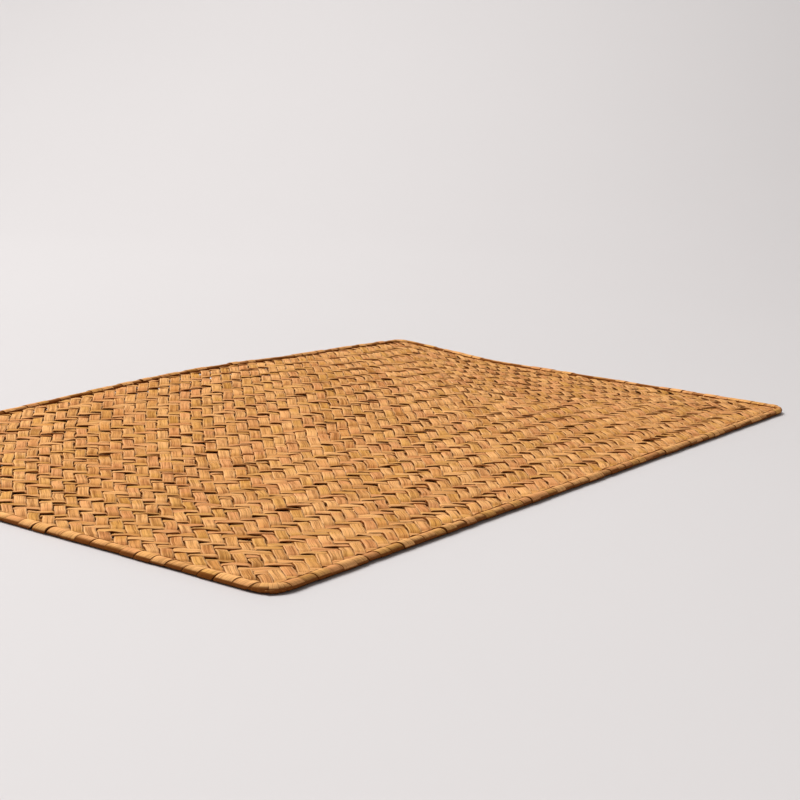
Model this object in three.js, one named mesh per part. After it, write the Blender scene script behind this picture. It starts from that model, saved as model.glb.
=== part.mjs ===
// A plaited straw placemat, lying on a table.
// One sheet of flat strips, plaited on the diagonal, whose ends are turned over into a rounded rim.
// Millimetres, +Z up. The origin is on the table, under the middle of the mat. X runs along the long side.
import * as THREE from 'three';

// Driving dimensions
const LENGTH = 450;
const WIDTH = 259;
const RIM_THICKNESS = 3.8;
const SHEET_THICKNESS = 3;
const CORNER_RADIUS = 10;

// Where the sheet has dried a little off the table: the middle of each lifted patch, how far the
// patch reaches either way along the sides, and how high the underside stands at its middle.
const LIFTS = [
  { patch: 'back edge', x: 45, y: 118, reachX: 195, reachY: 165, height: 6.4 },
  { patch: 'back corner', x: 225, y: 150, reachX: 140, reachY: 100, height: 4.5 },
];

// How finely the surface is divided: the step along a side, the steps in a corner's arc and in the
// half-round rim, and the rings between the middle of the mat and its rim, as shares of the way out.
// The rim stands a little over the sheet, and slopes down to it over a few millimetres.
const SIDE_STEP = 20;
const CORNER_STEPS = 5;
const RIM_STEPS = 6;
const RING_SHARES = [0.2, 0.4, 0.6, 0.75, 0.86, 0.94];
const RIM_SLOPE = 3;

const STRAW = { color: 0xc9935a, roughness: 0.75, metalness: 0 };

// Height of the underside over the table at one place on the mat.
function liftAt(x, y) {
  let height = 0;
  for (const lift of LIFTS) {
    const across = (x - lift.x) / lift.reachX;
    const along = (y - lift.y) / lift.reachY;
    const fall = Math.max(0, 1 - across * across - along * along);
    height += lift.height * fall * fall;
  }
  return height;
}

// One turn round the mat, anticlockwise from above, where the flat faces end and the rim begins.
// Each point carries the direction in which the rim stands out.
function outline(rimRadius) {
  const arcRadius = CORNER_RADIUS - rimRadius;
  const halfLength = LENGTH / 2 - CORNER_RADIUS;
  const halfWidth = WIDTH / 2 - CORNER_RADIUS;
  const corners = [
    { x: halfLength, y: halfWidth, turn: 0, sideAfter: 2 * halfLength },
    { x: -halfLength, y: halfWidth, turn: 1, sideAfter: 2 * halfWidth },
    { x: -halfLength, y: -halfWidth, turn: 2, sideAfter: 2 * halfLength },
    { x: halfLength, y: -halfWidth, turn: 3, sideAfter: 2 * halfWidth },
  ];
  const points = [];
  for (const corner of corners) {
    for (let i = 0; i <= CORNER_STEPS; i += 1) {
      const angle = (corner.turn + i / CORNER_STEPS) * Math.PI / 2;
      const out = new THREE.Vector2(Math.cos(angle), Math.sin(angle));
      const at = new THREE.Vector2(corner.x, corner.y).addScaledVector(out, arcRadius);
      points.push({ at, out });
    }
    const steps = Math.round(corner.sideAfter / SIDE_STEP);
    const { at: sideStart, out } = points[points.length - 1];
    const sideway = new THREE.Vector2(-out.y, out.x);
    for (let i = 1; i < steps; i += 1) {
      const at = sideStart.clone().addScaledVector(sideway, corner.sideAfter * i / steps);
      points.push({ at, out });
    }
  }
  return points;
}

// The rings of the surface, from under the middle, out round the rim and back over the top.
function ringTable(rimRadius) {
  const under = RING_SHARES.map((share) => ({ share, outward: 0, height: 0 }));
  const over = under.map((ring) => ({ ...ring, height: SHEET_THICKNESS })).reverse();
  const rim = [{ share: 1, outward: 0, height: 0 }];
  for (let i = 1; i < RIM_STEPS; i += 1) {
    const angle = (i / RIM_STEPS - 0.5) * Math.PI;
    const outward = rimRadius * Math.cos(angle);
    rim.push({ share: 1, outward, height: rimRadius * (1 + Math.sin(angle)) });
  }
  rim.push({ share: 1, outward: 0, height: RIM_THICKNESS });
  rim.push({ share: 1, outward: -RIM_SLOPE, height: SHEET_THICKNESS });
  return [...under, ...rim, ...over];
}

function matGeometry() {
  const rimRadius = RIM_THICKNESS / 2;
  const around = outline(rimRadius);
  const rings = ringTable(rimRadius);
  const positions = [];
  const addVertex = (x, y, height) => positions.push(x, y, height + liftAt(x, y));
  for (const ring of rings) {
    for (const { at, out } of around) {
      const x = at.x * ring.share + out.x * ring.outward;
      const y = at.y * ring.share + out.y * ring.outward;
      addVertex(x, y, ring.height);
    }
  }
  const underMiddle = positions.length / 3;
  addVertex(0, 0, 0);
  const overMiddle = underMiddle + 1;
  addVertex(0, 0, SHEET_THICKNESS);

  const faces = [];
  const lastRing = (rings.length - 1) * around.length;
  for (let i = 0; i < around.length; i += 1) {
    const next = (i + 1) % around.length;
    faces.push(underMiddle, next, i);
    faces.push(overMiddle, lastRing + i, lastRing + next);
    for (let ring = 0; ring < rings.length - 1; ring += 1) {
      const inner = ring * around.length;
      const outer = inner + around.length;
      faces.push(inner + i, inner + next, outer + next);
      faces.push(inner + i, outer + next, outer + i);
    }
  }
  const geometry = new THREE.BufferGeometry();
  geometry.setAttribute('position', new THREE.Float32BufferAttribute(positions, 3));
  geometry.setIndex(faces);
  geometry.computeVertexNormals();
  return geometry;
}

const placemat = new THREE.Group();
const mat = new THREE.Mesh(matGeometry(), new THREE.MeshStandardMaterial(STRAW));
mat.name = 'plaited_mat';
placemat.add(mat);

export default placemat;
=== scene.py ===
# %% [markdown]
# # A plaited straw placemat
# The mat is a single sheet of flat straw strips. They are plaited on the diagonal, two over and two
# under, and every strip is turned over at the sides, which makes the rounded rim.
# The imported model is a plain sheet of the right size, with the right lifted edges. This script keeps
# that size and plaits the real strips in its place.

# %% Load the frame
import math

import bpy
import numpy as np
from mathutils import Matrix, Vector


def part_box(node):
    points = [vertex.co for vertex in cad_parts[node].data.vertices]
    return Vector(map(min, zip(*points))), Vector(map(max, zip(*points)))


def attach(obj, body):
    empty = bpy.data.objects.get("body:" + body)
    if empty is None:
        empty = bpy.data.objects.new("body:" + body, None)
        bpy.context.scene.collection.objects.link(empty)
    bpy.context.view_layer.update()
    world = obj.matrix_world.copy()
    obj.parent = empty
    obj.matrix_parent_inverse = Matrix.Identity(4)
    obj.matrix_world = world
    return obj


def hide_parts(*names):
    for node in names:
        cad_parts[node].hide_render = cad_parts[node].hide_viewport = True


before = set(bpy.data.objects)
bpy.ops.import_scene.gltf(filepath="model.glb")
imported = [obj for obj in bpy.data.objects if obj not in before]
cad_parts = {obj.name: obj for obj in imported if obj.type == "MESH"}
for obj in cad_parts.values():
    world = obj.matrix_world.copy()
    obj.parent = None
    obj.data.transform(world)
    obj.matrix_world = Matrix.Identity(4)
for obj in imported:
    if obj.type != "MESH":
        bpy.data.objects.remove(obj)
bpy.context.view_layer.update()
mat_low, mat_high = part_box("plaited_mat")
MM = 0.001
LENGTH = mat_high.x - mat_low.x
WIDTH = mat_high.y - mat_low.y
print(f"sheet {LENGTH / MM:.0f} x {WIDTH / MM:.0f} mm, highest point {mat_high.z / MM:.1f} mm")

# %% [markdown]
# ## The camera
# The picture is taken from low down, along the near corner of the mat, with a long lens. The camera is
# placed by the point it looks at, its distance, heading and pitch, with a slight roll because
# the picture isn't quite level. Worked out that way it can be read and changed, which a bare matrix can't.

# %% Camera
LOOK_AT = Vector((84.0, 32.85, 0.0)) * MM
DISTANCE = 825.7 * MM
HEADING = math.radians(56.31)
PITCH = math.radians(10.74)
ROLL = math.radians(3.23)
LENS_MM = 69.75
SENSOR_MM = 36.0


def camera_axes():
    """Right, up and forward of the camera, as unit vectors."""
    forward = Vector((
        math.sin(HEADING) * math.cos(PITCH),
        math.cos(HEADING) * math.cos(PITCH),
        -math.sin(PITCH),
    ))
    level = Vector((math.cos(HEADING), -math.sin(HEADING), 0.0))
    upright = level.cross(forward)
    right = math.cos(ROLL) * level + math.sin(ROLL) * upright
    up = math.cos(ROLL) * upright - math.sin(ROLL) * level
    return right, up, forward


def add_camera():
    right, up, forward = camera_axes()
    data = bpy.data.cameras.new("camera")
    data.lens = LENS_MM
    data.sensor_width = SENSOR_MM
    camera = bpy.data.objects.new("camera", data)
    turn = Matrix((right, up, -forward)).transposed().to_4x4()
    camera.matrix_world = Matrix.Translation(LOOK_AT - forward * DISTANCE) @ turn
    bpy.context.scene.collection.objects.link(camera)
    bpy.context.scene.camera = camera
    return camera


camera = add_camera()
print("camera at", [round(value / MM) for value in camera.location], "mm")

# %% [markdown]
# ## Node trees that read like sums
# Most of this mat is a rule: where each strip runs and which strip is on top. Rules like that belong in
# node trees, but long chains of Math nodes are hard to read in a script. So a small class stands for a
# value in a tree. Adding or multiplying two of them adds the Math node and its links.

# %% Values in a node tree
class Field:
    """A value inside a node tree."""

    def __init__(self, tree, socket):
        self.tree = tree
        self.socket = socket

    def math(self, operation, *others):
        node = self.tree.nodes.new("ShaderNodeMath")
        node.operation = operation
        for socket, value in zip(node.inputs, (self, *others)):
            plug(self.tree, socket, value)
        return Field(self.tree, node.outputs[0])

    def __add__(self, other):
        return self.math("ADD", other)

    def __sub__(self, other):
        return self.math("SUBTRACT", other)

    def __mul__(self, other):
        return self.math("MULTIPLY", other)

    def __truediv__(self, other):
        return self.math("DIVIDE", other)

    def __neg__(self):
        return self.math("MULTIPLY", -1.0)

    def blend(self, other, share):
        """This value where share is 0, the other where it is 1."""
        return self + (other - self) * share

    def ease(self, start, end):
        """0 up to the start, 1 from the end on, and a smooth step between. It may also run downwards."""
        node = self.tree.nodes.new("ShaderNodeMapRange")
        node.interpolation_type = "SMOOTHSTEP"
        plug(self.tree, node.inputs["Value"], self)
        plug(self.tree, node.inputs["From Min"], start)
        plug(self.tree, node.inputs["From Max"], end)
        return Field(self.tree, node.outputs["Result"])


def plug(tree, socket, value):
    """Links a field to a socket, or sets a plain value on it."""
    if isinstance(value, Field):
        tree.links.new(value.socket, socket)
    else:
        socket.default_value = value


# %% Nodes, groups and trees
def add_node(tree, kind, output=0, settings=None, **inputs):
    """Adds a node. Inputs are given by socket name, with _ for a space; the chosen output comes back."""
    node = tree.nodes.new(kind)
    for name, value in (settings or {}).items():
        setattr(node, name, value)
    for name, value in inputs.items():
        wanted = name.replace("_", " ")
        sockets = [s for s in node.inputs if s.name == wanted and s.enabled]
        plug(tree, sockets[0], value)
    return Field(tree, node.outputs[output])


def vector(tree, x, y, z):
    return add_node(tree, "ShaderNodeCombineXYZ", X=x, Y=y, Z=z)


def parts_of(tree, value):
    node = tree.nodes.new("ShaderNodeSeparateXYZ")
    plug(tree, node.inputs[0], value)
    return [Field(tree, socket) for socket in node.outputs]


def place_group(tree, kind, group, **inputs):
    """Places a group in a tree. Gives its outputs by name."""
    node = tree.nodes.new(kind)
    node.node_tree = group
    for name, value in inputs.items():
        plug(tree, node.inputs[name], value)
    return {socket.name: Field(tree, socket) for socket in node.outputs}


def start_tree(title, kind, inputs, outputs):
    """A new tree with named sockets. Gives the tree, its inputs as fields and its output node."""
    tree = bpy.data.node_groups.new(title, kind)
    for name, socket in outputs:
        tree.interface.new_socket(name, in_out="OUTPUT", socket_type="NodeSocket" + socket)
    for name, socket in inputs:
        tree.interface.new_socket(name, in_out="INPUT", socket_type="NodeSocket" + socket)
    source = tree.nodes.new("NodeGroupInput")
    fields = {socket.name: Field(tree, socket) for socket in source.outputs if socket.name}
    return tree, fields, tree.nodes.new("NodeGroupOutput")


# %% [markdown]
# ## Straw
# Dried straw is never one colour. Each strip has its own tone, from yellow to a pinkish brown, and fine
# fibres run along it. Light and shade are painted on as well: a painted highlight along the edges of a
# strip where it is on top, a line of painted shade outside it, and painted shade where the strip dips
# under its neighbour.
# A flat colour with bump would miss all of that, so every point of a strip carries four values: the
# strip's number, the place along it, the place across it, and how high it lies, from 0 where it is under
# its neighbour to 1 where it is on top. Two shader groups read those, one for the fibres and one for the
# tone with its painted shade and highlight, and both materials of the mat use them.

# %% Noises on a strip
# "along" is how many patches of a noise fit into one unit of length: a crossing in the plait, a radius of
# the rim in a wrap. "jump" is the step from one strip to the next, so that no two strips look alike.
NOISES = {
    "fine fibres": {"along": 0.32, "jump": 7.3},
    "broad fibres": {"along": 0.2, "jump": 3.1},
    "pale patches": {"along": 0.42, "jump": 5.7},
    "blush": {"along": 0.3, "jump": 4.9},
    "bends": {"along": 0.45, "jump": 3.7},
    "rim bends": {"along": 0.35, "jump": 4.3},
}


def stretched(noise, along, strip):
    """Where to read a noise: how far along the strip, and how far from the other strips."""
    return along * NOISES[noise]["along"], strip * NOISES[noise]["jump"]


def smooth_noise(tree, place, output="Fac", **details):
    return add_node(tree, "ShaderNodeTexNoise", output=output, Vector=place, Scale=1.0, **details)


# %% Shader group for the fibres
BROAD_FIBRES = 1.9
FINE_SHARE = 0.65


def fibre_group():
    tree, give, out = start_tree(
        "straw fibres", "ShaderNodeTree",
        [("Strip", "Float"), ("Along", "Float"), ("Across", "Float"), ("Fibres", "Float")],
        [("Streaks", "Float"), ("Height", "Float")],
    )
    fine_lines = stretched("fine fibres", give["Along"], give["Strip"])
    fine_place = vector(tree, give["Across"] * give["Fibres"], *fine_lines)
    fine = smooth_noise(tree, fine_place, Detail=3.0, Roughness=0.6)
    broad_lines = stretched("broad fibres", give["Along"], give["Strip"])
    broad_place = vector(tree, give["Across"] * BROAD_FIBRES, *broad_lines)
    broad = smooth_noise(tree, broad_place, Detail=1.0)
    plug(tree, out.inputs["Streaks"], fine * FINE_SHARE + broad * (1 - FINE_SHARE))
    plug(tree, out.inputs["Height"], fine)
    return tree


fibres = fibre_group()
print("fibre group:", len(fibres.nodes), "nodes")


# %% Shader group for the tone
# Places across a strip run from 0 in its middle to 1 at its edge. The two layers keep the patches and the
# blush apart.
OWN_TONE_SHARE = 0.4
PATCH_LAYER = 0.5
BLUSH_LAYER = 9.5
PINK_RANGE = (0.5, 0.72)
GOLD_RANGE = (0.48, 0.26)
# Range of the pale line inside a strip's edge, where it is on top: painted highlight.
PALE_EDGE = (0.7, 0.84)
# Range of the dark line along a strip's outer edge: painted shade for the gaps between strips.
DARK_EDGE = (0.88, 0.98)
# Range of the painted shade where a strip dips under its neighbour.
SUNK_RANGE = (0.35, 1.0)


def tone_group():
    tree, give, out = start_tree(
        "straw tone", "ShaderNodeTree",
        [("Strip", "Float"), ("Along", "Float"), ("Across", "Float"), ("Rise", "Float")],
        [("Tone", "Float"), ("Blush", "Float"), ("Gold", "Float"), ("Shade", "Float"), ("Edge", "Float")],
    )
    own = add_node(tree, "ShaderNodeTexWhiteNoise", settings={"noise_dimensions": "1D"}, W=give["Strip"])
    patch_lines = stretched("pale patches", give["Along"], give["Strip"])
    patches = smooth_noise(tree, vector(tree, *patch_lines, PATCH_LAYER), Detail=1.0)
    blush_lines = stretched("blush", give["Along"], give["Strip"])
    blush = smooth_noise(tree, vector(tree, *blush_lines, BLUSH_LAYER), Detail=0.0)
    from_middle = give["Across"].math("ABSOLUTE")
    # Painted shade along the outer edge, for the gap beside the strip.
    dark_line = from_middle.ease(*DARK_EDGE)
    # Painted highlight inside the edge, only where the strip is on top.
    pale_line = from_middle.ease(*PALE_EDGE) * (-dark_line + 1.0)
    # Painted shade where the strip dips under its neighbour.
    sunk = (-give["Rise"] + 1.0).ease(*SUNK_RANGE)
    plug(tree, out.inputs["Tone"], own * OWN_TONE_SHARE + patches * (1 - OWN_TONE_SHARE))
    plug(tree, out.inputs["Blush"], blush.ease(*PINK_RANGE))
    plug(tree, out.inputs["Gold"], blush.ease(*GOLD_RANGE))
    plug(tree, out.inputs["Shade"], sunk.math("MAXIMUM", dark_line))
    plug(tree, out.inputs["Edge"], pale_line * give["Rise"])
    return tree


tones = tone_group()
print("tone group:", len(tones.nodes), "nodes")


# %% The straw materials
# The dark straw colour darkens the fibre streaks, and it is also the colour of the painted shade.
DARK_STRAW = (0.18, 0.05, 0.008, 1.0)
MIDDLE_STRAW = (0.59, 0.245, 0.057, 1.0)
LIGHT_STRAW = (0.89, 0.46, 0.172, 1.0)
PINK_STRAW = (0.70, 0.285, 0.112, 1.0)
GOLD_STRAW = (0.64, 0.315, 0.06, 1.0)
# The colour of the painted highlight on the edges of strips on top.
EDGE_HIGHLIGHT_STRAW = (0.95, 0.60, 0.30, 1.0)
TONE_RANGE = (0.15, 0.85)
STREAK_RANGE = (0.56, 0.38)
PINKNESS = 0.6
GILDING = 0.55
ROUGHNESS = 0.78
FIBRE_GLOSS = 0.35
DRY_SPECULAR = 0.01
BUMP_STRENGTH = 0.6


def mix_colour(tree, share, first, second):
    node = tree.nodes.new("ShaderNodeMix")
    node.data_type = "RGBA"
    plug(tree, node.inputs[0], share)
    plug(tree, node.inputs[6], first)
    plug(tree, node.inputs[7], second)
    return Field(tree, node.outputs[2])


def carried(tree, name):
    """A value that the points of a strip carry."""
    return add_node(tree, "ShaderNodeAttribute", output="Fac", settings={"attribute_name": name})


def straw(title, fibres_across, fibre_depth, paling, streaking, edge_highlight, shading):
    """Straw in all its tones, with fibres along the strip, painted shade and a painted highlight."""
    material = bpy.data.materials.new(title)
    material.use_nodes = True
    tree = material.node_tree
    principled = tree.nodes["Principled BSDF"]
    spot = {name: carried(tree, name.lower()) for name in ("Strip", "Along", "Across")}
    tone = place_group(tree, "ShaderNodeGroup", tones, Rise=carried(tree, "rise"), **spot)
    fibre = place_group(tree, "ShaderNodeGroup", fibres, Fibres=fibres_across, **spot)
    even = mix_colour(tree, (tone["Tone"] + paling).ease(*TONE_RANGE), MIDDLE_STRAW, LIGHT_STRAW)
    warm = mix_colour(tree, tone["Blush"] * PINKNESS, even, PINK_STRAW)
    golden = mix_colour(tree, tone["Gold"] * GILDING, warm, GOLD_STRAW)
    streaked = mix_colour(tree, fibre["Streaks"].ease(*STREAK_RANGE) * streaking, golden, DARK_STRAW)
    # Painted highlight along the raised edges of strips on top.
    edged = mix_colour(tree, tone["Edge"] * edge_highlight, streaked, EDGE_HIGHLIGHT_STRAW)
    # Painted shade: where a strip dips under, along its edges, and on the rim's lower half and tucked-in
    # ends.
    shaded = mix_colour(tree, tone["Shade"] * shading, edged, DARK_STRAW)
    plug(tree, principled.inputs["Base Color"], shaded)
    plug(tree, principled.inputs["Roughness"], fibre["Streaks"] * -FIBRE_GLOSS + ROUGHNESS)
    principled.inputs["Specular IOR Level"].default_value = DRY_SPECULAR
    bump = tree.nodes.new("ShaderNodeBump")
    bump.inputs["Strength"].default_value = BUMP_STRENGTH
    bump.inputs["Distance"].default_value = fibre_depth
    plug(tree, bump.inputs["Height"], fibre["Height"])
    tree.links.new(bump.outputs["Normal"], principled.inputs["Normal"])
    return material


# shading sets how strong the painted shade is, and the edge setting sets how strong the painted highlight
# is.
plait_straw = straw(
    "straw of the plait", fibres_across=13.0, fibre_depth=0.4 * MM,
    paling=0.12, streaking=0.7, edge_highlight=0.35, shading=0.66,
)
# The rim's straw is made paler all over, a painted highlight that shows on the lit top, and its lower half
# takes strong painted shade.
rim_straw = straw(
    "straw of the rim", fibres_across=6.0, fibre_depth=0.35 * MM,
    paling=0.34, streaking=0.4, edge_highlight=0.0, shading=0.95,
)
print("materials:", plait_straw.name, "and", rim_straw.name)

# %% [markdown]
# ## The plait
# Every strip lies along one of two diagonals. Counting the strips of each family gives two numbers for
# any place on the mat, and a crossing is where both are whole. A plain twill would look the same all over.
# This mat follows the old way of plaiting from the rim inwards: the strips change places by rings, counted
# from the nearest side. That gives rows along the long sides, and columns in a triangle at each end.
# The strips are pushed closer together towards the two ends, and lie looser in the middle.
# One Geometry Nodes tree makes a family of strips, because every strip follows the same rule.

# %% Sizes of the plait
RINGS_X = 63.5
RINGS_Y = 36.5
STEP_X = LENGTH / 2 / RINGS_X
STEP_Y = WIDTH / 2 / RINGS_Y
STRIP_SPACING = 2 * STEP_X * STEP_Y / math.hypot(STEP_X, STEP_Y)
STRIPS = int(RINGS_X + RINGS_Y)
RIM_RADIUS = 1.9 * MM
STRIP_THICKNESS = 0.65 * MM
print(f"room for {STRIPS} strips each way, {STRIP_SPACING / MM:.2f} mm apart")


# %% Which strip is on top
# Two over and two under: the rule repeats after four rings. Strips are counted from the middle of the mat,
# and each lies half a step past its number.
TWILL_REPEAT = 4.0


def on_top_tree():
    """1 where this strip crosses over, 0 where it goes under."""
    tree, give, out = start_tree(
        "strip on top", "GeometryNodeTree",
        [("Strip", "Float"), ("Crossing", "Float"), ("Direction", "Float"),
         ("Rings X", "Float"), ("Rings Y", "Float")],
        [("On Top", "Float")],
    )
    steps_x = (give["Strip"] + give["Crossing"] + 1.0).math("ABSOLUTE")
    steps_y = (give["Crossing"] - give["Strip"]).math("ABSOLUTE")
    ring = (give["Rings X"] - steps_x).math("MINIMUM", give["Rings Y"] - steps_y)
    place = ring.math("FLOOR").math("FLOORED_MODULO", TWILL_REPEAT)
    rising_on_top = place.math("GREATER_THAN", TWILL_REPEAT / 2 - 0.5)
    plug(tree, out.inputs["On Top"], (rising_on_top - 0.5) * give["Direction"] + 0.5)
    return tree


on_top = on_top_tree()
print("rule for the plait:", len(on_top.nodes), "nodes")


# %% Section of a strip
SECTION_POINTS = 8


def named(tree, name):
    """A value that the points carry."""
    return add_node(tree, "GeometryNodeInputNamedAttribute", output="Attribute", Name=name)


def keep(tree, geometry, name, value):
    """Gives the points a value to carry."""
    return add_node(
        tree, "GeometryNodeStoreNamedAttribute", Geometry=geometry, Name=name, Value=value,
    )


def strip_section(tree, width, thickness, squareness):
    """A flat closed outline with soft corners; each point keeps its place across the strip."""
    ring = add_node(tree, "GeometryNodeCurvePrimitiveCircle", Resolution=SECTION_POINTS, Radius=1.0)
    number = add_node(tree, "GeometryNodeSplineParameter", output="Index")
    angle = (number + 0.5) * (2 * math.pi / SECTION_POINTS)
    cosine = angle.math("COSINE")
    sine = angle.math("SINE")
    across = cosine.math("SIGN") * cosine.math("ABSOLUTE").math("POWER", squareness)
    height = sine.math("SIGN") * sine.math("ABSOLUTE").math("POWER", squareness)
    place = vector(tree, across * width * 0.5, height * thickness * 0.5, 0.0)
    return add_node(
        tree, "GeometryNodeSetPosition", Geometry=keep(tree, ring, "across", across), Position=place,
    )


# %% Lines for the strips
# The samples are gathered halfway between crossings, where a strip goes up or down.
SAMPLES_PER_CROSSING = 5
GATHER = -0.09


def lay_lines(tree, give):
    """A line for each strip, which carries its number and the place along it, counted in crossings."""
    line = add_node(tree, "GeometryNodeCurvePrimitiveLine")
    samples = give["Reach"] * (2 * SAMPLES_PER_CROSSING) + 1.0
    fine_line = add_node(tree, "GeometryNodeResampleCurve", Curve=line, Count=samples)
    copies = tree.nodes.new("GeometryNodeDuplicateElements")
    copies.domain = "SPLINE"
    plug(tree, copies.inputs["Geometry"], fine_line)
    plug(tree, copies.inputs["Amount"], give["Strips"])
    number = Field(tree, copies.outputs["Duplicate Index"])
    lines = keep(tree, Field(tree, copies.outputs["Geometry"]), "strip", number + give["First Strip"])
    sample = add_node(tree, "GeometryNodeSplineParameter", output="Index")
    even = sample / SAMPLES_PER_CROSSING - give["Reach"]
    gathered = even + (even * (2 * math.pi)).math("SINE") * GATHER
    return keep(tree, lines, "along", gathered)


# %% Where a strip runs
def spread_out(give, strip, along):
    """The place on the mat, how loose the plait is there, and how far off the rim is."""
    half_length = give["Rings X"] * give["Step X"]
    half_width = give["Rings Y"] * give["Step Y"]
    even_x = (strip + 0.5 + along) * give["Step X"]
    way = even_x / half_length * math.pi
    x = even_x + way.math("SINE") * half_length * give["Crowding"] / math.pi
    loose = way.math("COSINE") * give["Crowding"] + 1.0
    y = (along - strip - 0.5) * give["Step Y"] * give["Direction"]
    to_end = half_length - x.math("ABSOLUTE")
    to_side = half_width - y.math("ABSOLUTE")
    return x, y, loose, to_end.math("MINIMUM", to_side)


# %% Over and under
# A strip changes height in the middle of the way from one crossing to the next.
CHANGE_RANGE = (0.38, 0.62)


def over_and_under(tree, give, strip, along):
    """How high the strip lies, from 0 under to 1 over, and its bow from one crossing to a like one."""
    crossing = (along - 0.5).math("FLOOR")
    between = along - 0.5 - crossing
    mat = {name: give[name] for name in ("Direction", "Rings X", "Rings Y")}
    here_and_after = []
    for step in (0.0, 1.0):
        rule = place_group(
            tree, "GeometryNodeGroup", on_top, Strip=strip, Crossing=crossing + step, **mat,
        )
        here_and_after.append(rule["On Top"])
    here, after = here_and_after
    rise = here.blend(after, between.ease(*CHANGE_RANGE))
    middle = between * 2.0 - 1.0
    bow = (here + after - 1.0) * (-(middle * middle) + 1.0)
    return rise, bow


# %% Unevenness
def uneven(tree, give, place, detail):
    """Three smooth random values about 0."""
    noise = smooth_noise(tree, place, output="Color", Detail=detail)
    return [(part - 0.5) * give["Unevenness"] for part in parts_of(tree, noise)]


def random_between(tree, give, low, high, **chosen):
    """A random value for each point, or for each strip where the strip is given as ID."""
    return add_node(
        tree, "FunctionNodeRandomValue", output=1, Seed=give["Seed"], Min=low, Max=high, **chosen,
    )


# %% The strips as a tree
# A strip that is held under its neighbours has little of the freedom to bend that it has on top.
# At the rim it runs out narrower, and its width follows a part of how loose the plait is.
STRIP_SQUARENESS = 0.38
FAMILY_JUMP = 29.0
HELD_FREEDOM = 0.2
SWAY = 1.6 * MM
SWELL = 1.2 * MM
TWIST = 0.6
OWN_WIDTH = (0.93, 1.03)
END_WIDTH = 0.6
LOOSE_SHARE = 0.5


def finish_tree(tree, out, mesh, material):
    """Smooth shading, real geometry and the material, at the end of each tree."""
    smooth = add_node(tree, "GeometryNodeSetShadeSmooth", Geometry=mesh)
    real = add_node(tree, "GeometryNodeRealizeInstances", Geometry=smooth)
    coloured = add_node(tree, "GeometryNodeSetMaterial", Geometry=real, Material=material)
    plug(tree, out.inputs["Mesh"], coloured)


def strips_tree():
    tree, give, out = start_tree(
        "plaited strips", "GeometryNodeTree",
        [("First Strip", "Int"), ("Strips", "Int"), ("Reach", "Int"), ("Direction", "Float"),
         ("Rings X", "Float"), ("Rings Y", "Float"), ("Step X", "Float"), ("Step Y", "Float"),
         ("Strip Width", "Float"), ("Strip Thickness", "Float"), ("Over Height", "Float"),
         ("Under Height", "Float"), ("Crown", "Float"), ("Lean", "Float"), ("Rim Height", "Float"),
         ("Rim Inset", "Float"), ("Crowding", "Float"), ("Unevenness", "Float"), ("Seed", "Int"),
         ("Material", "Material")],
        [("Mesh", "Geometry")],
    )
    lines = lay_lines(tree, give)
    strip = named(tree, "strip")
    along = named(tree, "along")
    x, y, loose, to_rim = spread_out(give, strip, along)
    inside = add_node(
        tree, "GeometryNodeDeleteGeometry", Geometry=lines,
        Selection=to_rim.math("LESS_THAN", give["Rim Inset"]),
    )
    rise, bow = over_and_under(tree, give, strip, along)
    bend_along, bend_strip = stretched("bends", along, strip)
    bend_place = vector(tree, bend_along, bend_strip + give["Direction"] * FAMILY_JUMP, give["Seed"])
    sway, swell, twist = uneven(tree, give, bend_place, detail=1.0)
    freedom = rise * (1 - HELD_FREEDOM) + HELD_FREEDOM

    height = give["Under Height"].blend(give["Over Height"], rise) + give["Crown"] * bow
    height = height + swell * freedom * SWELL
    inward = to_rim.ease(give["Rim Inset"], give["Rim Inset"] * 2.0)
    height = give["Rim Height"].blend(height, inward)
    step_length = (give["Step X"] * give["Step X"] + give["Step Y"] * give["Step Y"]).math("SQRT")
    shift = sway * SWAY
    place = vector(
        tree,
        x - give["Direction"] * give["Step Y"] / step_length * shift,
        y + give["Step X"] / step_length * shift,
        height,
    )
    placed = add_node(
        tree, "GeometryNodeSetPosition", Geometry=keep(tree, inside, "rise", rise), Position=place,
    )
    flat = add_node(tree, "GeometryNodeSetCurveNormal", settings={"mode": "Z_UP"}, Curve=placed)
    tilt = twist * freedom * TWIST + give["Lean"] * rise
    turned = add_node(tree, "GeometryNodeSetCurveTilt", Curve=flat, Tilt=tilt)
    own_width = random_between(tree, give, *OWN_WIDTH, ID=strip)
    end_width = inward * (1 - END_WIDTH) + END_WIDTH
    loose_width = loose * LOOSE_SHARE + (1 - LOOSE_SHARE)
    section = strip_section(tree, give["Strip Width"], give["Strip Thickness"], STRIP_SQUARENESS)
    solid = add_node(
        tree, "GeometryNodeCurveToMesh", Curve=turned, Profile_Curve=section,
        Scale=own_width * end_width * loose_width, Fill_Caps=True,
    )
    finish_tree(tree, out, solid, give["Material"])
    return tree


strips = strips_tree()
print("strip tree:", len(strips.nodes), "nodes")

# %% [markdown]
# ## From a tree to a mesh
# A tree works as a modifier, which makes the strips anew each time. The finished mat has to be plain
# meshes, so each tree is run once, its result is kept as the object's own mesh, and the modifier goes.
# Each family is made in two halves, so that no mesh has more than 200,000 triangles.

# %% Run a tree into a plain mesh
def triangles_of(mesh):
    return sum(len(face.vertices) - 2 for face in mesh.polygons)


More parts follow.
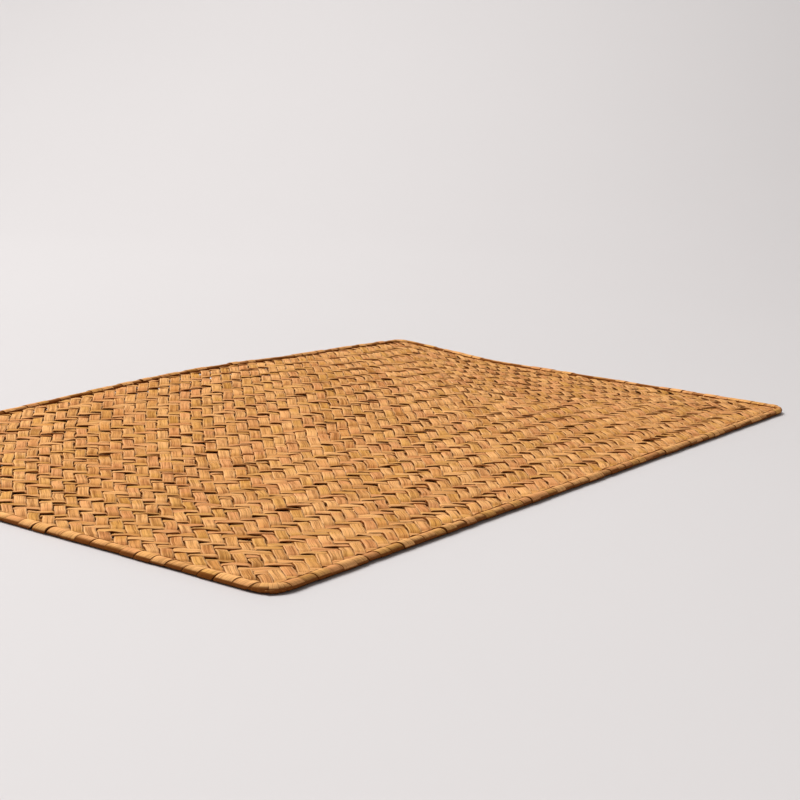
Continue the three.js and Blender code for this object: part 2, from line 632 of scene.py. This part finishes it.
def make_piece(tree, title, base=None, **values):
    """Runs a tree on an object and keeps the result as its plain mesh."""
    piece = bpy.data.objects.new(title, base or bpy.data.meshes.new(title))
    bpy.context.scene.collection.objects.link(piece)
    modifier = piece.modifiers.new("making", "NODES")
    modifier.node_group = tree
    for item in tree.interface.items_tree:
        if item.in_out == "INPUT" and item.socket_type != "NodeSocketGeometry":
            modifier[item.identifier] = values[item.name.replace(" ", "_").lower()]
    graph = bpy.context.evaluated_depsgraph_get()
    made = piece.evaluated_get(graph)
    mesh = bpy.data.meshes.new_from_object(made, preserve_all_data_layers=True, depsgraph=graph)
    piece.modifiers.remove(modifier)
    piece.data = mesh
    print(f"{title}: {triangles_of(mesh)} triangles")
    return piece


# %% Plait the mat
# Heights are in millimetres over the table, the lean is in radians and the width is a share of the spacing.
FAMILIES = (
    {"family": "rising", "direction": 1.0, "over": 2.2, "under": 0.7, "crown": 0.05, "lean": 0.0,
     "wide": 0.97},
    {"family": "falling", "direction": -1.0, "over": 1.95, "under": 1.25, "crown": 0.05, "lean": -0.09,
     "wide": 0.92},
)
HALVES = (("first", -(STRIPS // 2)), ("second", 0))
plait = []
for kind in FAMILIES:
    for half, first_strip in HALVES:
        piece = make_piece(
            strips, f"{kind['family']}_strips_{half}_half",
            first_strip=first_strip, strips=STRIPS // 2, reach=STRIPS // 2,
            direction=kind["direction"],
            rings_x=RINGS_X, rings_y=RINGS_Y, step_x=STEP_X, step_y=STEP_Y,
            strip_width=STRIP_SPACING * kind["wide"], strip_thickness=STRIP_THICKNESS,
            over_height=kind["over"] * MM, under_height=kind["under"] * MM, crown=kind["crown"] * MM,
            lean=kind["lean"],
            rim_height=RIM_RADIUS, rim_inset=2.3 * MM, crowding=0.12, unevenness=1.3, seed=7,
            material=plait_straw,
        )
        plait.append(piece)

# %% [markdown]
# ## The rim
# At the sides each falling strip goes over the edge, round it and back underneath, so the rim is a row of
# short slanted wraps. They could be bent one by one. It is simpler to lay them side by side in a straight
# row, as on a bench, and to let a tree roll the whole row over the edge of the mat: the place in the row
# becomes the place along the outline, and the length of the wrap becomes the way round the rim.
# The wraps differ in width and in how deep they sit, so some joints stand open. Painted shade darkens
# them on the lower half and where they are tucked in, so they look pale on top. Rolling turns the row
# inside out, so the tree flips its faces at the end.

# %% Row of wraps
CORNER_RADIUS = 10 * MM
CORNER_WRAPS = 8
LEAST_WRAP = 3.0 * MM


def lay_out_row():
    """One vertex for each wrap, with its width along the rim and its slant."""
    inner_radius = CORNER_RADIUS - RIM_RADIUS
    arc = inner_radius * math.pi / 2
    long_side = LENGTH - 2 * CORNER_RADIUS
    short_side = WIDTH - 2 * CORNER_RADIUS
    # Each side's length, the step from wrap to wrap, and the slant of its wraps.
    sides = (
        (long_side, 2 * STEP_X, STEP_X / STEP_Y),
        (short_side, 2 * STEP_Y, -STEP_Y / STEP_X),
    ) * 2
    stretches = []
    slant_before = sides[-1][2]
    for side, step, slant in sides:
        stretches.append((arc, CORNER_WRAPS, slant_before, slant))
        stretches.append((side, round(side / step), slant, slant))
        slant_before = slant
    places, widths, slants = [], [], []
    start = 0.0
    for stretch, count, first_slant, last_slant in stretches:
        for index in range(count):
            share = (index + 0.5) / count
            places.append((start + stretch * share, 0.0, 0.0))
            widths.append(max(stretch / count, LEAST_WRAP))
            slants.append(first_slant + (last_slant - first_slant) * share)
        start += stretch
    row = bpy.data.meshes.new("row of wraps")
    row.from_pydata(places, [], [])
    row.attributes.new("wide", "FLOAT", "POINT").data.foreach_set("value", widths)
    row.attributes.new("slant", "FLOAT", "POINT").data.foreach_set("value", slants)
    print(len(places), "wraps along", round(start / MM), "mm of rim")
    return row


row = lay_out_row()


# %% Wraps laid side by side
# The wraps are numbered on from the strips, so that none shares its tone with a strip.
WRAP_SQUARENESS = 0.18
NARROWING = 0.22
FIRST_WRAP = 200.0


def lay_wraps(tree, give, reach):
    """A flat wrap at each place in the row, with its own width and number."""
    line = add_node(
        tree, "GeometryNodeCurvePrimitiveLine",
        Start=vector(tree, 0.0, -reach, 0.0), End=vector(tree, 0.0, reach, 0.0),
    )
    fine_line = add_node(tree, "GeometryNodeResampleCurve", Curve=line, Count=give["Samples"])
    flat = add_node(tree, "GeometryNodeSetCurveNormal", settings={"mode": "Z_UP"}, Curve=fine_line)
    section = strip_section(tree, 1.0, give["Wrap Thickness"], WRAP_SQUARENESS)
    wrap = add_node(
        tree, "GeometryNodeCurveToMesh", Curve=flat, Profile_Curve=section, Fill_Caps=True,
    )
    own_width = random_between(tree, give, give["Overlap"] - NARROWING, give["Overlap"])
    number = add_node(tree, "GeometryNodeInputIndex") + FIRST_WRAP
    wraps = add_node(
        tree, "GeometryNodeInstanceOnPoints",
        Points=keep(tree, give["Row"], "strip", number), Instance=wrap,
        Scale=vector(tree, named(tree, "wide") * own_width, 1.0, 1.0),
    )
    return add_node(tree, "GeometryNodeRealizeInstances", Geometry=wraps)


# %% Line of the rim
CORNER_POINTS = 12


def follow_outline(tree, give, where):
    """The place on the middle line of the rim, and its direction there, at a distance along it."""
    outline = add_node(
        tree, "GeometryNodeCurvePrimitiveQuadrilateral",
        Width=give["Length"] - give["Rim Radius"] * 2.0,
        Height=give["Width"] - give["Rim Radius"] * 2.0,
    )
    rounded = add_node(
        tree, "GeometryNodeFilletCurve", settings={"mode": "POLY"}, Curve=outline,
        Radius=give["Corner Radius"] - give["Rim Radius"], Count=CORNER_POINTS,
    )
    turn = add_node(tree, "GeometryNodeCurveLength", Curve=rounded)
    follow = tree.nodes.new("GeometryNodeSampleCurve")
    follow.mode = "LENGTH"
    plug(tree, follow.inputs["Curves"], rounded)
    plug(tree, follow.inputs["Length"], where.math("FLOORED_MODULO", turn))
    place = parts_of(tree, Field(tree, follow.outputs["Position"]))
    tangent = parts_of(tree, Field(tree, follow.outputs["Tangent"]))
    return place[:2], tangent[:2]


# %% Roll the row over the edge
# No strip lies over a wrap, so here the rise carries painted shade: the lower half of a wrap is darkened,
# in patches, and so is its flat tucked-in end, while some wraps are darker at random. Places round the rim
# are in radii from its outermost line, upwards negative. Shares are of the flat end, where a wrap has
# painted shade.
LIT_RANGE = (0.15, -0.5)
LIT_PATCHES = 1.5
OWN_LIGHT = (0.35, 1.3)
END_DARKENING = 0.5
TUCKED_SHADE_SHARE = 0.6
TUCKED_SHARE = 0.2
OWN_DEPTH = (-0.42 * MM, -0.08 * MM)
RIM_SWAY = 1.8 * MM
RIM_SWELL = 0.5 * MM


def rim_tree():
    tree, give, out = start_tree(
        "rim wraps", "GeometryNodeTree",
        [("Row", "Geometry"), ("Length", "Float"), ("Width", "Float"), ("Corner Radius", "Float"),
         ("Rim Radius", "Float"), ("Wrap Thickness", "Float"), ("Overlap", "Float"),
         ("Flat", "Float"), ("Tuck", "Float"), ("Samples", "Int"), ("Unevenness", "Float"),
         ("Seed", "Int"), ("Material", "Material")],
        [("Mesh", "Geometry")],
    )
    radius = give["Rim Radius"] - give["Wrap Thickness"] * 0.5
    half_round = radius * (math.pi / 2)
    wraps = lay_wraps(tree, give, half_round + give["Flat"])
    place_in_row, way_round, off = parts_of(tree, add_node(tree, "GeometryNodeInputPosition"))
    wraps = keep(tree, wraps, "along", way_round / give["Rim Radius"])
    past = (way_round.math("ABSOLUTE") - half_round).math("MAXIMUM", 0.0)
    strip = named(tree, "strip")
    bend_lines = stretched("rim bends", named(tree, "along"), strip)
    bend_place = vector(tree, *bend_lines, give["Seed"])
    sway, swell, patchy = uneven(tree, give, bend_place, detail=0.0)

    # Painted shade: the lower half of each wrap is darker, with a patchy border.
    lit = (way_round / radius + patchy * LIT_PATCHES).ease(*LIT_RANGE)
    own_light = random_between(tree, give, *OWN_LIGHT, ID=strip)
    # Painted shade where the wrap is tucked in at its flat end.
    tucked_shade = past.ease(0.0, give["Flat"] * TUCKED_SHADE_SHARE)
    end_light = tucked_shade * (own_light - (1.0 + END_DARKENING)) + 1.0
    wraps = keep(tree, wraps, "rise", lit * own_light * end_light)

    where = place_in_row + named(tree, "slant") * way_round + sway * RIM_SWAY
    (edge_x, edge_y), (tangent_x, tangent_y) = follow_outline(tree, give, where)
    angle = (way_round / radius).math("MINIMUM", math.pi / 2).math("MAXIMUM", -math.pi / 2)
    own_depth = random_between(tree, give, *OWN_DEPTH, ID=strip)
    dip = past.ease(give["Flat"] * TUCKED_SHARE, give["Flat"])
    distance = radius + off + swell * RIM_SWELL + own_depth - dip * give["Tuck"]
    outward = distance * angle.math("COSINE") - past
    height = give["Rim Radius"] - distance * angle.math("SINE")
    rolled = add_node(
        tree, "GeometryNodeSetPosition", Geometry=wraps,
        Position=vector(tree, edge_x + tangent_y * outward, edge_y - tangent_x * outward, height),
    )
    outside_out = add_node(tree, "GeometryNodeFlipFaces", Mesh=rolled)
    finish_tree(tree, out, outside_out, give["Material"])
    return tree


rim = make_piece(
    rim_tree(), "rim_wraps", base=row,
    length=LENGTH, width=WIDTH, corner_radius=CORNER_RADIUS, rim_radius=RIM_RADIUS,
    wrap_thickness=0.9 * MM, overlap=1.12, flat=2.0 * MM, tuck=1.7 * MM, samples=15,
    unevenness=0.8, seed=3, material=rim_straw,
)

# %% [markdown]
# ## Off the table
# The straw has dried a little out of flat: the back edge and the back corner stand a few millimetres off
# the table. The strips were made lying flat, so that they could be worked out on a plain grid. Now
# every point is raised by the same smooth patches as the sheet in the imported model.

# %% Lift the edges
# In millimetres: the middle of each patch, how far it reaches either way, and how high it stands there.
LIFTS = (
    {"patch": "back edge", "x": 45, "y": 118, "reach_x": 195, "reach_y": 165, "height": 6.4},
    {"patch": "back corner", "x": 225, "y": 150, "reach_x": 140, "reach_y": 100, "height": 4.5},
)


def lift_off(mesh):
    """Raises the points of a mesh by the lifted patches."""
    points = np.empty(len(mesh.vertices) * 3)
    mesh.vertices.foreach_get("co", points)
    points = points.reshape(-1, 3)
    for lift in LIFTS:
        across = (points[:, 0] / MM - lift["x"]) / lift["reach_x"]
        along = (points[:, 1] / MM - lift["y"]) / lift["reach_y"]
        fall = np.clip(1 - across ** 2 - along ** 2, 0, None)
        points[:, 2] += lift["height"] * MM * fall ** 2
    mesh.vertices.foreach_set("co", points.ravel())
    mesh.update()


for piece in (*plait, rim):
    lift_off(piece.data)
print("lifted", len(plait) + 1, "pieces by", len(LIFTS), "patches")

# %% [markdown]
# ## Where it lies, and the light
# The mat lies on a pale sweep: a floor that bends up behind it into the background, so the camera sees
# no horizon. The light is soft and comes from above and the left. It leaves the near right rim in the
# shade, and only a thin dark line of shadow under the edges. The lower half of the rim also has painted
# shade.

# %% Floor and backdrop
# In metres from the middle of the mat, away from the camera.
SWEEP_NEAR = -2.6
SWEEP_FAR = 0.85
SWEEP_RADIUS = 1.6
SWEEP_TOP = 3.0
SWEEP_HALF_WIDTH = 4.0
SWEEP_STEPS = 24
DULL_PAPER = (0.62, 0.592, 0.588, 1.0)
BRIGHT_PAPER = (0.65, 0.622, 0.618, 1.0)
PAPER_ROUGHNESS = 0.6


def seen_from_camera(right, ahead, up):
    """A place given in metres to the right of the mat, behind it and above it, as the camera sees it."""
    turn = Matrix.Rotation(-HEADING, 4, "Z")
    return turn @ Vector((right, ahead, up))


def pale_paper():
    material = bpy.data.materials.new("pale paper")
    material.use_nodes = True
    tree = material.node_tree
    principled = tree.nodes["Principled BSDF"]
    spot = add_node(tree, "ShaderNodeTexCoord", output="Object")
    mottle = add_node(tree, "ShaderNodeTexNoise", output="Fac", Vector=spot, Scale=1.5, Detail=2.0)
    plug(tree, principled.inputs["Base Color"], mix_colour(tree, mottle, DULL_PAPER, BRIGHT_PAPER))
    principled.inputs["Roughness"].default_value = PAPER_ROUGHNESS
    return material


def add_sweep():
    profile = [(SWEEP_NEAR, 0.0), (0.0, 0.0)]
    for step in range(SWEEP_STEPS + 1):
        angle = math.pi / 2 * step / SWEEP_STEPS
        profile.append((
            SWEEP_FAR + SWEEP_RADIUS * math.sin(angle),
            SWEEP_RADIUS * (1 - math.cos(angle)),
        ))
    profile.append((SWEEP_FAR + SWEEP_RADIUS, SWEEP_TOP))
    points = []
    for side in (-SWEEP_HALF_WIDTH, SWEEP_HALF_WIDTH):
        points += [seen_from_camera(side, far, high) for far, high in profile]
    row_length = len(profile)
    faces = []
    for i in range(row_length - 1):
        faces.append((i, row_length + i, row_length + i + 1, i + 1))
    mesh = bpy.data.meshes.new("sweep")
    mesh.from_pydata(points, [], faces)
    mesh.shade_smooth()
    mesh.materials.append(pale_paper())
    sweep = bpy.data.objects.new("sweep", mesh)
    bpy.context.scene.collection.objects.link(sweep)
    return sweep


sweep = add_sweep()
print("sweep:", len(sweep.data.polygons), "faces")

# %% Lights
LIGHTS = (
    {"name": "key", "at": (-1.45, 0.0, 2.6), "aim": (-0.35, -0.2, 0.0), "size": 2.0, "spread": 110,
     "watts": 43.5},
    {"name": "background", "at": (-0.4, -0.3, 2.4), "aim": (0.0, 2.3, 1.0), "size": 1.2, "spread": 90,
     "watts": 15.5},
)
SKY_COLOUR = (1.0, 0.985, 0.975, 1.0)
SKY_STRENGTH = 0.25


def add_light(name, at, aim, size, spread, watts):
    data = bpy.data.lights.new(name, "AREA")
    data.shape = "DISK"
    data.size = size
    data.spread = math.radians(spread)
    data.energy = watts
    light = bpy.data.objects.new(name, data)
    light.location = seen_from_camera(*at)
    away = light.location - seen_from_camera(*aim)
    light.rotation_euler = away.to_track_quat("Z", "Y").to_euler()
    bpy.context.scene.collection.objects.link(light)


def add_sky():
    world = bpy.data.worlds.new("soft room")
    world.use_nodes = True
    background = world.node_tree.nodes["Background"]
    background.inputs["Color"].default_value = SKY_COLOUR
    background.inputs["Strength"].default_value = SKY_STRENGTH
    bpy.context.scene.world = world


for light in LIGHTS:
    add_light(**light)
add_sky()
bpy.context.scene.view_settings.view_transform = "Standard"
print(len(LIGHTS), "lights and an even sky")

# %% [markdown]
# ## Join the looks to the frame
# Every piece rides on the mat's one body and stands for the plain sheet, which is hidden.

# %% Hand over to the frame
for piece in (*plait, rim):
    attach(piece, "root")
    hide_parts("plaited_mat")
